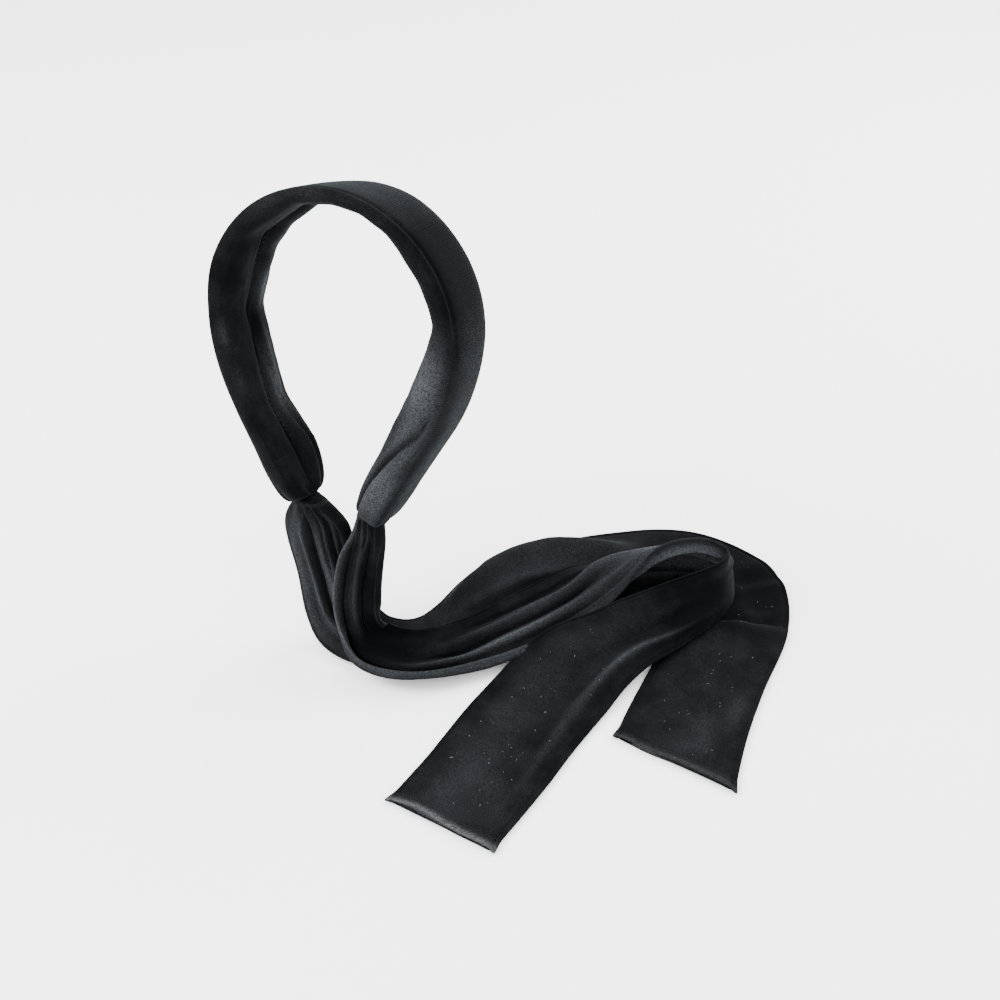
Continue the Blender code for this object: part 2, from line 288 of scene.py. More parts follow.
hoop = {
    "leanBack": 11.1,  # its crown stands further back than its ends
    "turn": 2.8,  # the right side stands a little nearer the front
    "shiftAcross": -0.0007,
    "lift": 0.0013,
    # its outer face in front view: a half circle, then wider curves, then straight arms
    "crownRadius": 0.0671,
    "crownCentre": 0.1002,
    "sideRadius": 0.1049,
    "sideTurn": 27.5,
    "armLength": 0.0345,
    "width": 0.0370,
    "wall": 0.0011,
    "mouthWidth": 0.0150,
    "mouthThickness": 0.0122,
    "mouthLift": 0.0050,
    "rings": 330,
    "mouthRings": 30,
    "sides": 120,
    "crowd": 0.72,  # how far the points of a ring crowd on to its flat faces
    "flatness": 0.58,  # under 1 squares the section, and the mouth's is rounder
    "mouthFlatness": 0.85,
    "neckCloth": 0.022,  # cloth from the last full ring to the mouth
    "clothRadius": 0.015,  # turns an angle round the section into a way along the cloth
    "cornerStep": 0.0016,  # softens the inner face's corners
    "tiltMm": 4.4,  # left of the crown the outer face slopes to the back
    # millimetres along the outer face from the crown, left negative, then how far the rolled front
    # edge and back edge lie below the outer face
    "edges": ((-190, 13.0, 7.6), (-160, 8.3, 7.0), (-113, 5.2, 5.6), (-79, 2.6, 6.0), (-34, 1.6, 9.0),
              (-12, 1.5, 7.6), (6, 1.8, 4.4), (28, 3.2, 3.0), (60, 4.2, 3.3), (100, 6.7, 3.9),
              (136, 9.0, 5.5), (158, 7.8, 5.9), (190, 5.4, 5.9)),
    # corners of the loose inner face as (place along, depth) in millimetres, with straight chords
    # between them
    "frontCorners": ((-210, 18.0), (-160, 13.5), (-112, 12.6), (-60, 11.2), (-22, 9.6), (0, 9.4),
                     (18, 9.2), (36, 10.8), (63, 13.5), (88, 13.4), (135, 24.0), (210, 19.0)),
    "backCorners": ((-210, 25.0), (-186, 18.6), (-167, 11.4), (-112, 14.8), (-71, 16.4), (-51, 15.6),
                    (-25, 12.5), (0, 10.4), (40, 12.5), (75, 13.0), (112, 17.0), (150, 21.0),
                    (210, 20.0)),
}
# heights in millimetres, and places across the section from -1 at the front edge to 1 at the back
coverFolds = {
    "lipMm": 0.5,
    "lipAcross": -0.93,
    "lipGrooveMm": 0.8,
    "lipGrooveAcross": -0.80,
    "seamAcross": -0.09,
    "seamWander": 0.05,
    "seamGrooveMm": 3.6,
    "seamDipMm": 1.8,
    "pleatStart": 0.16,
    "pleatEnd": 0.52,
    "pleatMm": 2.2,
    "pleatRiseMm": 0.9,
    "pleatFromMm": 105,  # along the hoop from the crown, as the arm's fold is below
    "rightSeamAcross": 0.02,
    "rightGrooveMm": 0.9,
    "rightDipMm": 1.6,
    "armFoldMm": 6.0,
    "armFoldFromMm": 128,
    "armFoldStart": -0.16,  # the arm's fold is placed by its turn from the front edge, in radians
    "armFoldEnd": 0.80,
    "armRiseShare": 0.35,
    "slackMm": 0.7,
    "fineSlackMm": 0.35,
    "gatherMm": 0.55,
    "gathers": 8,
}
hoopTurn, hoopLean = math.radians(hoop["turn"]), math.radians(hoop["leanBack"])
hoopAcross = Vector((math.cos(hoopTurn), -math.sin(hoopTurn), 0.0))
hoopLevel = Vector((math.sin(hoopTurn), math.cos(hoopTurn), 0.0))
hoopUp = hoopLevel * math.sin(hoopLean) + Vector((0, 0, 1)) * math.cos(hoopLean)
hoopBack = hoopLevel * math.cos(hoopLean) - Vector((0, 0, 1)) * math.sin(hoopLean)
hoopFoot = neckMiddle + Vector((hoop["shiftAcross"], 0.0, hoop["lift"]))
crownArc = hoop["crownRadius"] * math.pi / 2
sideArc = hoop["sideRadius"] * math.radians(hoop["sideTurn"])
fullArc = crownArc + sideArc + hoop["armLength"]


def hoopPoint(u, v, w):
    return hoopFoot + hoopAcross * u + hoopUp * v + hoopBack * w


def outerLine(arc):
    side = 1.0 if arc >= 0.0 else -1.0
    arc = abs(arc)
    radius, bigRadius, centre = hoop["crownRadius"], hoop["sideRadius"], hoop["crownCentre"]
    if arc <= crownArc:
        turn = arc / radius
        u, v = radius * math.sin(turn), centre + radius * math.cos(turn)
    else:
        bend = min(arc - crownArc, sideArc) / bigRadius
        run = max(0.0, arc - crownArc - sideArc)
        turn = math.pi / 2 + bend
        u = radius - bigRadius + bigRadius * math.cos(bend) - run * math.sin(bend)
        v = centre - bigRadius * math.sin(bend) - run * math.cos(bend)
    return Vector((side * u, v)), Vector((side * math.sin(turn), math.cos(turn)))


def chordPoints(corners):
    row = []
    for alongMm, depthMm in corners:
        point, out = outerLine(alongMm / 1000)
        row.append((alongMm / 1000, point - out * (depthMm / 1000)))
    return row


chords = {"front": chordPoints(hoop["frontCorners"]), "back": chordPoints(hoop["backCorners"])}


def chordDepth(row, arc):
    # how deep the straight chord between two corners lies below the outer face
    point, out = outerLine(arc)
    for (start, first), (end, second) in zip(row, row[1:]):
        if start <= arc <= end:
            along = second - first
            cross = out.x * along.y - out.y * along.x
            gap = point - first
            return (gap.x * along.y - gap.y * along.x) / cross
    return 0.0


def innerDepth(row, arc):
    # the chords meet in soft corners
    steps = [count * hoop["cornerStep"] for count in (-2, -1, 0, 1, 2)]
    return sum(chordDepth(row, arc + step) for step in steps) / len(steps)


def tautDepth(place, x, s, edge):
    # the tight outer face, with the rolled lip of its front edge and a fine groove behind that
    slope = hoop["tiltMm"] / 1000 * bump(place, -20, 28)
    lip = coverFolds["lipGrooveMm"] * bump(x, coverFolds["lipGrooveAcross"], 0.045)
    lip -= coverFolds["lipMm"] * bump(x, coverFolds["lipAcross"], 0.06)
    lip *= ease((place + 60) / 60) * ease((118 - place) / 40) / 1000
    return edge * (1 - s ** 0.85) + slope * (x + 1) / 2 * s ** 0.5 + lip


def leftPress(arc, x):
    # the closing seam pulls a groove along the left inner face, with a loose pleat behind it
    place = arc * 1000
    seamAt = coverFolds["seamAcross"] + coverFolds["seamWander"] * math.sin(arc * 40)
    groove = coverFolds["seamGrooveMm"] * bump(x, seamAt + 0.03, 0.035)
    groove += coverFolds["seamDipMm"] * bump(x, seamAt + 0.12, 0.20)
    pleatAt = mix(coverFolds["pleatStart"], coverFolds["pleatEnd"], ease((-place - 118) / 62))
    pleat = coverFolds["pleatMm"] * bump(x, pleatAt, 0.05)
    pleat -= coverFolds["pleatRiseMm"] * bump(x, pleatAt + 0.14, 0.10)
    return groove * ease(-place / 30) + pleat * ease((-place - coverFolds["pleatFromMm"]) / 20)


def rightPress(place, x):
    # the same seam, drawn in less on the right
    groove = coverFolds["rightGrooveMm"] * bump(x, coverFolds["rightSeamAcross"], 0.05)
    groove += coverFolds["rightDipMm"] * bump(x, coverFolds["rightSeamAcross"], 0.3)
    return groove * ease(place / 40)


def armPress(place, lap):
    # one deep fold runs down the puffed front of the right arm, with a rise beside it
    foldAt = mix(coverFolds["armFoldStart"], coverFolds["armFoldEnd"], ease((place - 134) / 68))
    shape = bump(lap, foldAt, 0.09) - coverFolds["armRiseShare"] * bump(lap, foldAt - 0.34, 0.20)
    return coverFolds["armFoldMm"] * ease((place - coverFolds["armFoldFromMm"]) / 34) * shape


def coverRing(arc, taper, inset):
    # One ring of points round the cover, and for each its angle and its share of the loose inner face.
    # taper runs from 0 along the hoop to 1 at the mouth that the tail goes into.
    side = 1.0 if arc >= 0.0 else -1.0
    place = arc * 1000
    point, out = outerLine(arc)
    frontEdge = readTable(hoop["edges"], place, 1) / 1000
    backEdge = readTable(hoop["edges"], place, 2) / 1000
    frontInner, backInner = innerDepth(chords["front"], arc), innerDepth(chords["back"], arc)
    neck = (rightNeck if side > 0 else leftNeck) - hoopFoot
    neckFlat = Vector((neck.dot(hoopAcross), neck.dot(hoopUp)))
    middleDepth = (frontInner + backInner) / 4
    middle = point - out * middleDepth
    mouth = neckFlat + (middle - neckFlat).normalized() * hoop["mouthLift"]
    close = 1.0 - math.sqrt(max(0.0, 1.0 - taper ** 2.3)) if taper < 1.0 else 1.0
    centre = middle.lerp(mouth, taper)
    halfWidth = hoop["width"] / 2
    ring, innerShares = [], []
    for i in range(hoop["sides"]):
        angle = turnAt(i / hoop["sides"], hoop["crowd"])
        c, s = math.cos(angle), math.sin(angle)
        x = power(c, hoop["flatness"])
        edge = mix(frontEdge, backEdge, ease((x + 0.6) / 1.2))
        if s >= 0.0:
            deepest = (frontInner + backInner) / 2
            depth = tautDepth(place, x, s, edge)
            inner = 0.0
        else:
            deepest = mix(frontInner, backInner, ease((x + 0.42) / 0.84))
            depth = edge + (deepest - edge) * (-s) ** 0.75
            inner = ease(-s * 1.5)
        if side < 0:
            press = inner * leftPress(arc, x)
        else:
            press = armPress(place, angle - math.pi) + inner * rightPress(place, x)
        spot = Vector((arc * 30, x * 1.5, inner * 1.6 + side))
        slack = noise.noise(spot * 1.6) * coverFolds["slackMm"]
        slack += noise.noise(spot * 3.9) * coverFolds["fineSlackMm"]
        press = (press + slack * inner) * (1 - close) / 1000
        halfDepth = max(0.004, deepest / 2)
        a, d = x * halfWidth, middleDepth - depth
        shrink = max(0.4, 1.0 - press / math.hypot(a, d))
        a, d = a * shrink * (1 - inset / halfWidth), d * shrink * (1 - inset / halfDepth)
        mouthA = power(c, hoop["mouthFlatness"]) * (hoop["mouthWidth"] / 2 - inset)
        mouthD = power(s, hoop["mouthFlatness"]) * (hoop["mouthThickness"] / 2 - inset)
        a, d = mix(a, mouthA, close), mix(d, mouthD, close)
        # gathers that run into the mouth
        gather = math.sin(angle * coverFolds["gathers"] + 1.9 * math.sin(angle * 3 + side))
        gather *= ease((taper - 0.30) * 1.6) * coverFolds["gatherMm"] / 1000
        grow = 1.0 + gather / max(0.003, math.hypot(a, d))
        uv = centre + out * (d * grow)
        ring.append(hoopPoint(uv.x, uv.y, a * grow))
        innerShares.append((angle, inner))
    return ring, innerShares


# Where the pile lies stroked up on the cover, and where painted light and painted shade lie (the negative
# amount is painted shade): place along and its reach, angle round the section and its reach, and how
# much. Angle 180 is the front edge, 270 the middle of the inner face, 0 the back.
coverNapAndPaintedLight = (
    (122, 22, 208, 34, 0.62),
    (164, 26, 196, 26, 0.40),
    (192, 16, 205, 50, 0.46),
    (146, 46, 100, 60, 0.30),
    (10, 30, 70, 60, 0.10),
    # painted shade: the outer face of the right side darkened
    (72, 36, 90, 60, -0.08),
    (-66, 10, 284, 9, 0.22),
    (-97, 12, 287, 11, 0.60),
    (-120, 8, 206, 18, 0.20),
    (-136, 9, 285, 9, 0.30),
    (-148, 9, 212, 18, 0.13),
    (-158, 14, 288, 12, 0.55),
    (-30, 30, 175, 26, 0.10),
)


def coverNapAndPaintedLightAt(place, degrees):
    total = 0.0
    for along, alongReach, turn, turnReach, amount in coverNapAndPaintedLight:
        away = (degrees - turn + 180) % 360 - 180
        total += amount * bump(place, along, alongReach) * bump(away, 0.0, turnReach)
    if place > 70 and total > 0:
        # the stroked pile of the arm's front stops at the ridge
        total *= mix(1.0, mix(0.35, 1.0, ease((degrees - 140) / 14)), ease((place - 70) / 30))
    return total


def buildCover():
    tapers = [1.0 - (i / hoop["mouthRings"]) ** 1.2 for i in range(hoop["mouthRings"])]
    row = [(-fullArc, taper) for taper in tapers]
    for i in range(hoop["rings"] + 1):
        row.append((mix(-fullArc, fullArc, i / hoop["rings"]), 0.0))
    row += [(fullArc, taper) for taper in reversed(tapers)]
    rings, clothUv = [], []
    marks = {"napAndPaintedLight": [], "taut": [], "fuzz": []}
    for inset, order in ((0.0, row), (hoop["wall"], row[::-1])):
        for arc, taper in order:
            ring, innerShares = coverRing(arc, taper, inset)
            rings.append(ring)
            reach = arc + math.copysign(taper * hoop["neckCloth"], arc)
            for angle, inner in innerShares:
                clothUv.append((reach, angle * hoop["clothRadius"]))
                marks["napAndPaintedLight"].append(coverNapAndPaintedLightAt(reach * 1000, math.degrees(angle)))
                marks["taut"].append(0.9 * (1 - inner) * ease((arc + 0.01) / 0.05) * (1 - taper))
                marks["fuzz"].append(0.0)
    mesh = loftMesh("coverVelvet", rings, clothUv, marks, closed=True)
    mesh.materials.append(velvet)
    return addObject("coverVelvet", mesh)


coverPiece = buildCover()
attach(coverPiece, "band")
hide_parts("velvet_cover")
print("cover made")


# Stations from neck to end: the middle of the band in millimetres from the spot under the necks,
# the way across it as a turn in plan and a rise, and its gathered width in millimetres.
# Folds run lengthwise: from station, to station, place across at each (-1 to 1), height in
# millimetres and half width. Creases cross the band: station at its near edge and at its far edge,
# height, half width in stations, and the part across that they cover.
# Nap is where the pile lies stroked up, with painted light and painted shade among its rows (negative
# amounts are painted shade): station, reach, place across, reach, amount.
leftTail = {
    "name": "leftTailVelvet",
    "side": "left",
    "stations": (
        (-17.5, 0, 90, 10, 0, 13),
        (-14.7, 1, 76, 10, 0, 33),
        (-14, 2, 60, 10, 2, 36),
        (-11, 3, 38, 15, 8, 35),
        (-7.6, 2, 19, 32, 20, 36),
        (1, -2, 9.5, 62, 18, 36),
        (17, -3, 4.8, 88, 6, 36),
        (37, 4, 4.2, 105, 6, 38),
        (57, 34, 5, 122, 8, 52),
        (78, 66, 4.8, 126, 6, 60),
        (111, 99, 3.2, 122, 2, 61),
        (149, 119, 3.2, 98, 2, 62),
        (182, 110, 2.6, 55, 2, 61),
        (191, 82, 1.7, 20, 0, 59),
        (188, 42, 1.7, 2, 0, 59),
        (187, 6, 1.7, -3, 0, 61),
        (188, -23, 1.7, -10, 0, 65),
    ),
    "folds": (
        (0.1, 6.5, -0.42, -0.36, 4.6, 0.10),
        (0.1, 6.5, -0.25, -0.20, -5.8, 0.055),
        (1.0, 6.2, 0.08, 0.08, 2.6, 0.20),
        (0.1, 3.2, 0.08, 0.14, -3.6, 0.045),
        (0.1, 4.2, 0.34, 0.38, -4.8, 0.05),
        (0.2, 6.8, 0.62, 0.52, -3.4, 0.05),
        (0.2, 6.5, 0.82, 0.80, 2.2, 0.12),
        (0.6, 5.5, -0.78, -0.74, 1.6, 0.20),
        (7.4, 10.7, 0.72, 0.34, 14.0, 0.26),
        (8.0, 9.9, 0.86, 0.64, 5.0, 0.18),
        (8.6, 11.4, 0.02, -0.10, -3.4, 0.06),
        (7.6, 11.2, 0.25, -0.20, 4.5, 0.13),
        (10.6, 14.5, -0.15, 0.25, 1.6, 0.20),
    ),
    "creases": (
        (12.75, 12.95, -3.0, 0.05, 0.30, 0.75),
        (12.93, 13.13, 2.0, 0.09, 0.30, 0.75),
        (11.5, 11.9, 1.6, 0.12, 0.55, 0.60),
        (12.1, 12.3, 1.4, 0.10, 0.65, 0.50),
        (11.8, 12.1, -1.4, 0.08, 0.60, 0.50),
        (12.20, 12.05, 1.5, 0.045, 0.78, 0.20),
        (11.80, 11.55, 1.3, 0.05, 0.40, 0.30),
    ),
    "napAndPaintedLight": (
        (2.8, 2.6, -0.76, 0.34, 0.36),
        (2.8, 2.2, -0.44, 0.10, 0.24),
        (3.8, 2.4, 0.02, 0.26, 0.66),
        (2.0, 1.4, 0.50, 0.12, 0.20),
        (8.6, 1.5, 0.60, 0.45, 0.14),
        (14.5, 2.2, 0.00, 1.00, 0.05),
        (5.0, 1.2, -0.10, 0.25, 0.24),
        (9.4, 1.0, 0.28, 0.16, 0.22),
        (9.6, 0.9, -0.15, 0.14, 0.24),
        # painted shadow: the turn darkened where the loop shades it
        (11.7, 1.0, 0.30, 0.90, -0.08),
        # painted sheen: three faint diagonal streaks after the turn
        (15.2, 0.4, 0.35, 0.22, 0.09),
        (14.6, 0.4, 0.70, 0.14, 0.12),
        (15.6, 0.3, 0.00, 0.25, 0.06),
    ),
    "undulationMm": 0.8,
    "seed": 4.0,
    "endFuzz": 0.13,
}
rightTail = {
    "name": "rightTailVelvet",
    "side": "right",
    "stations": (
        (17.5, 0, 90, 0, 0, 12.5),
        (16.6, -2, 76, 0, 0, 18.5),
        (13.6, -6, 60, 0, 0, 24.8),
        (12.2, -10.5, 40, 10, 4, 26),
        (14, -14, 24, 40, 12, 23),
        (22, -15.5, 12.5, 88, 12, 31),
        (43, -11.5, 9.8, 110, 9, 33),
        (67, 9, 9.2, 118, 10, 37),
        (89, 38, 10, 124, 12, 40),
        (111, 67, 15.5, 130, 2, 40),
        (136, 93, 23, 135, -56, 35),
        (159, 109.5, 21.8, 115, -76, 31),
        (179, 108, 20.8, 40, -79, 28),
        (180, 90, 20.5, -20, -70, 29),
        (161, 64, 17, -30, -42, 34),
        (142, 44, 12.5, -20, -13, 43),
        (126.5, 22, 9.5, -16, -8, 54),
        (116, -4, 2.6, -8, 0, 61),
        (110, -32, 1.7, -3, 0, 61),
        (105.5, -62, 1.7, -2, 0, 60),
        (97.6, -100.5, 1.7, -10, 0, 58),
    ),
    "folds": (
        (0.1, 9.8, -0.86, -0.88, 5.0, 0.13),
        (0.3, 9.0, -0.62, -0.66, -3.8, 0.05),
        (0.5, 5.4, -0.34, -0.26, -2.0, 0.20),
        (0.9, 4.4, 0.02, -0.06, 3.0, 0.16),
        (0.4, 4.8, 0.26, 0.16, -4.6, 0.05),
        (0.4, 1.6, -0.10, -0.02, -2.2, 0.05),
        (0.8, 7.2, 0.88, 0.90, 4.4, 0.10),
        (4.8, 7.6, 0.10, -0.20, -4.4, 0.36),
        (9.0, 12.8, -0.60, -0.64, -4.6, 0.10),
        (9.0, 12.8, -0.40, -0.42, 2.2, 0.07),
        (10.2, 12.9, -0.10, -0.16, -3.2, 0.09),
        (8.0, 10.4, 0.40, 0.30, -2.6, 0.06),
        (5.6, 9.9, -0.52, -0.54, -3.4, 0.05),
        (5.8, 9.9, -0.34, -0.32, 3.0, 0.10),
        (6.1, 9.9, -0.05, -0.04, -3.4, 0.05),
        (6.4, 10.2, 0.22, 0.24, 3.4, 0.13),
        (6.8, 10.2, 0.55, 0.54, -2.6, 0.07),
        (8.6, 11.6, 0.10, 0.15, 6.5, 0.34),
        (12.8, 19.0, 0.50, 0.64, 3.8, 0.13),
        (13.4, 17.6, 0.12, 0.24, -2.4, 0.15),
        (14.0, 19.5, -0.30, -0.44, 2.0, 0.24),
    ),
    "creases": (
        (2.0, 2.5, -1.2, 0.10, 0.20, 0.35),
        (14.6, 15.2, 1.2, 0.16, -0.60, 0.50),
    ),
    "napAndPaintedLight": (
        (0.8, 0.6, -0.20, 0.50, 0.14),
        (3.2, 1.4, -0.22, 0.26, 0.22),
        (2.8, 3.0, -0.88, 0.14, 0.60),
        (14.4, 1.8, -0.10, 0.90, 0.06),
        # painted shade: the band darkened at its bend
        (4.9, 1.0, -0.30, 0.90, -0.10),
        (7.5, 2.2, -0.90, 0.12, 0.34),
        (7.4, 1.0, -0.30, 0.16, 0.50),
        (8.6, 1.6, 0.24, 0.14, 0.34),
        (8.4, 1.4, -0.33, 0.10, 0.30),
        (9.8, 0.8, 0.30, 0.50, 0.14),
        (10.6, 1.6, -0.62, 0.14, 0.50),
        # painted light: the inside of the loop lightened where it lies in shadow
        (11.0, 1.0, 0.05, 0.70, 1.20),
        # painted shade: the returning band darkened across its whole width
        (13.6, 0.8, 0.00, 1.00, -0.10),
        # painted highlight: a sheen line along the lengthwise ridge of the returning band
        (15.4, 1.3, 0.54, 0.07, 0.34),
        (17.4, 1.6, 0.62, 0.08, 0.12),
        (18.4, 2.4, -0.25, 0.40, 0.10),
        (19.6, 0.9, 0.00, 0.90, 0.08),
    ),
    "undulationMm": 0.9,
    "seed": 11.0,
    "endFuzz": 0.42,
}
tailForm = {
    "thickness": 0.0030,
    "neckThickness": 0.0104,
    "neckStretch": 0.034,
    "stepsPerStation": 18,
    "sides": 144,
    "crowd": 0.6,
    "lip": 0.0006,  # the turned-in end is a little thicker
    "lipInset": 0.0015,
    "lipReach": 0.0016,
    "cornerFlare": 0.0014,
    "cornerReach": 0.0018,
    "endBow": 0.0022,
    "endRounding": (0.85, 0.6, 0.3, 0.08),
    "neckPleat": 0.0011,
    "edgeGroove": 0.0011,  # beside each pressed edge, where the tube's two layers meet
    "underside": 0.2,  # shifts the lower layer's cloth clear of the upper one's
    "lintReach": 0.16,  # lint lies this far up from the end
}


def tailFrame(stations, position):
    x, y, z, turn, rise, width = (curveThrough([s[k] for s in stations], position) for k in range(6))
    ahead = min(len(stations) - 1.0, position + 0.05)
    behind = max(0.0, position - 0.05)
    run = Vector([curveThrough([s[k] for s in stations], ahead) for k in range(3)])
    run -= Vector([curveThrough([s[k] for s in stations], behind) for k in range(3)])
    run.normalize()
    turn, rise = math.radians(turn), math.radians(rise)
    flat = math.cos(rise)
    across = Vector((math.cos(turn) * flat, math.sin(turn) * flat, math.sin(rise)))
    face = run.cross(across).normalized()
    return tableSpot + Vector((x, y, z)) / 1000, across, face, run, width / 2000


def foldHeight(tail, position, a):
    height = 0.0
    for start, end, fromA, toA, heightMm, halfWidth in tail["folds"]:
        if start < position < end:
            t = (position - start) / (end - start)
            strength = ease(t / 0.22) * ease((1 - t) / 0.32)
            wander = 0.045 * noise.noise(Vector((position * 0.9, fromA * 7, tail["seed"])))
            height += strength * heightMm * bump(a, mix(fromA, toA, t) + wander, halfWidth)
    for near, far, heightMm, width, middleA, reachA in tail["creases"]:
        place = mix(near, far, (a + 1) / 2)
        if abs(position - place) < width * 3:
            height += heightMm * bump(position, place, width) * bump(a, middleA, reachA)
    return height / 1000


def napAndPaintedLightAt(tail, position, a):
    return sum(amount * bump(position, place, reach) * bump(a, middle, width)
               for place, reach, middle, width, amount in tail["napAndPaintedLight"])


def tailRing(tail, position, length, total, closing=1.0):
    # one ring of the flattened tube, with each point's place across (-1 to 1) and its side
    form = tailForm
    middle, across, face, run, halfWidth = tailFrame(tail["stations"], position)
    fromEnd = total - length
    gathered = 1 - ease(length / form["neckStretch"])
    thick = mix(form["thickness"], form["neckThickness"], gathered) / 2
    thick = (thick + form["lip"] * bump(fromEnd, form["lipInset"], form["lipReach"])) * closing
    flare = form["cornerFlare"] * bump(fromEnd, 0.0, 0.0035)
    settle = ease((fromEnd - 0.002) / 0.02)
    ring = []
    for i in range(form["sides"]):
        angle = turnAt(i / form["sides"], form["crowd"])
        a = power(math.cos(angle), mix(0.80, 0.95, gathered))
        f = power(math.sin(angle), mix(0.45, 0.90, gathered))
        spot = Vector((length * 24, a * halfWidth * 34, tail["seed"]))
        soft = noise.noise(spot) * tail["undulationMm"] + noise.noise(spot * 2.7) * 0.3
        h = foldHeight(tail, position, a) * (1 - gathered) ** 0.5
        h += soft / 1000 * ease((length - 0.03) / 0.05) * mix(0.35, 1.0, settle)
        # small gathers where the cloth goes into the neck
        pleats = math.sin(a * 15 + tail["seed"]) * ease(length / 0.006) * (1 - ease(length / 0.045))
        h += form["neckPleat"] * pleats * abs(f)
        h -= form["edgeGroove"] * bump(abs(a), 0.92, 0.022) * f * (1 - gathered)
        out = a * (halfWidth + flare * abs(a) ** 6)
        reach = form["cornerReach"] * bump(fromEnd, 0.0, 0.003) * abs(a) ** 8
        bow = noise.noise(Vector((a * 1.3, tail["seed"], 2.0))) * bump(fromEnd, 0.0, 0.012)
        reach += form["endBow"] * bow
        point = middle + across * out + face * (h + f * thick) + run * reach
        point.z = max(point.z, 0.0002)
        ring.append((point, a, f))
    return ring


def tailRoute(tail):
    last = len(tail["stations"]) - 1
    steps = last * tailForm["stepsPerStation"]
    places = [i / tailForm["stepsPerStation"] for i in range(steps + 1)]
    lengths = [0.0]
    for before, after in zip(places, places[1:]):
        gap = tailFrame(tail["stations"], after)[0] - tailFrame(tail["stations"], before)[0]
        lengths.append(lengths[-1] + gap.length)
    return places, lengths


def buildTail(tail):
    places, lengths = tailRoute(tail)
    total = lengths[-1]
    rows = [(place, length, 1.0) for place, length in zip(places, lengths)]
    rows += [(places[-1], total, shrink) for shrink in tailForm["endRounding"]]
    rings, clothUv = [], []
    marks = {"napAndPaintedLight": [], "taut": [], "fuzz": [], "lintArea": []}
    for position, length, closing in rows:
        halfWidth = tailFrame(tail["stations"], position)[4]
        fromEnd = total - length
        ring = tailRing(tail, position, length, total, closing)
        rings.append([point for point, a, f in ring])
        for point, a, f in ring:
            under = tailForm["underside"] if f < 0 else 0.0
            clothUv.append((length, math.copysign(a * halfWidth, f) + under))
            marks["napAndPaintedLight"].append(napAndPaintedLightAt(tail, position, a))
            marks["taut"].append(0.9 * bump(fromEnd, 0.006, 0.012))
            marks["fuzz"].append(tail["endFuzz"] * bump(fromEnd, 0.0, 0.0019))
            onTop = f > 0.9 and fromEnd < tailForm["lintReach"] and abs(a) < 0.93
            marks["lintArea"].append(1.0 if onTop else 0.0)
    mesh = loftMesh(tail["name"], rings, clothUv, marks)
    mesh.materials.append(velvet)
    return addObject(tail["name"], mesh), rings, lengths


def bendAtNeck(piece):
    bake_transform(piece)


tailPieces = {}
for tail in (leftTail, rightTail):
    piece, rings, lengths = buildTail(tail)
    tailPieces[tail["side"]] = {"piece": piece, "rings": rings, "lengths": lengths, "tail": tail}
    bendAtNeck(piece)
    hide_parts(tail["side"] + "_tail")
    print(tail["name"], "made,", round(lengths[-1], 3), "m long")


def newTree(name, inputs):
    # an empty Geometry Nodes tree with named inputs
    tree = bpy.data.node_groups.new(name, "GeometryNodeTree")
    tree.interface.new_socket("Geometry", in_out="INPUT", socket_type="NodeSocketGeometry")
    for label, kind in inputs:
        tree.interface.new_socket(label, in_out="INPUT", socket_type=kind)
    tree.interface.new_socket("Geometry", in_out="OUTPUT", socket_type="NodeSocketGeometry")
    return tree, tree.nodes.new("NodeGroupInput"), tree.nodes.new("NodeGroupOutput")


def closeTree(tree, given, result, geometry):
    real = node(tree, "GeometryNodeRealizeInstances", None, {0: geometry})
    smooth = node(tree, "GeometryNodeSetShadeSmooth", None, {"Geometry": real.outputs[0]})
    painted = node(tree, "GeometryNodeSetMaterial", None,
                   {"Geometry": smooth.outputs[0], "Material": given.outputs["finish"]})
    tree.links.new(painted.outputs[0], result.inputs[0])


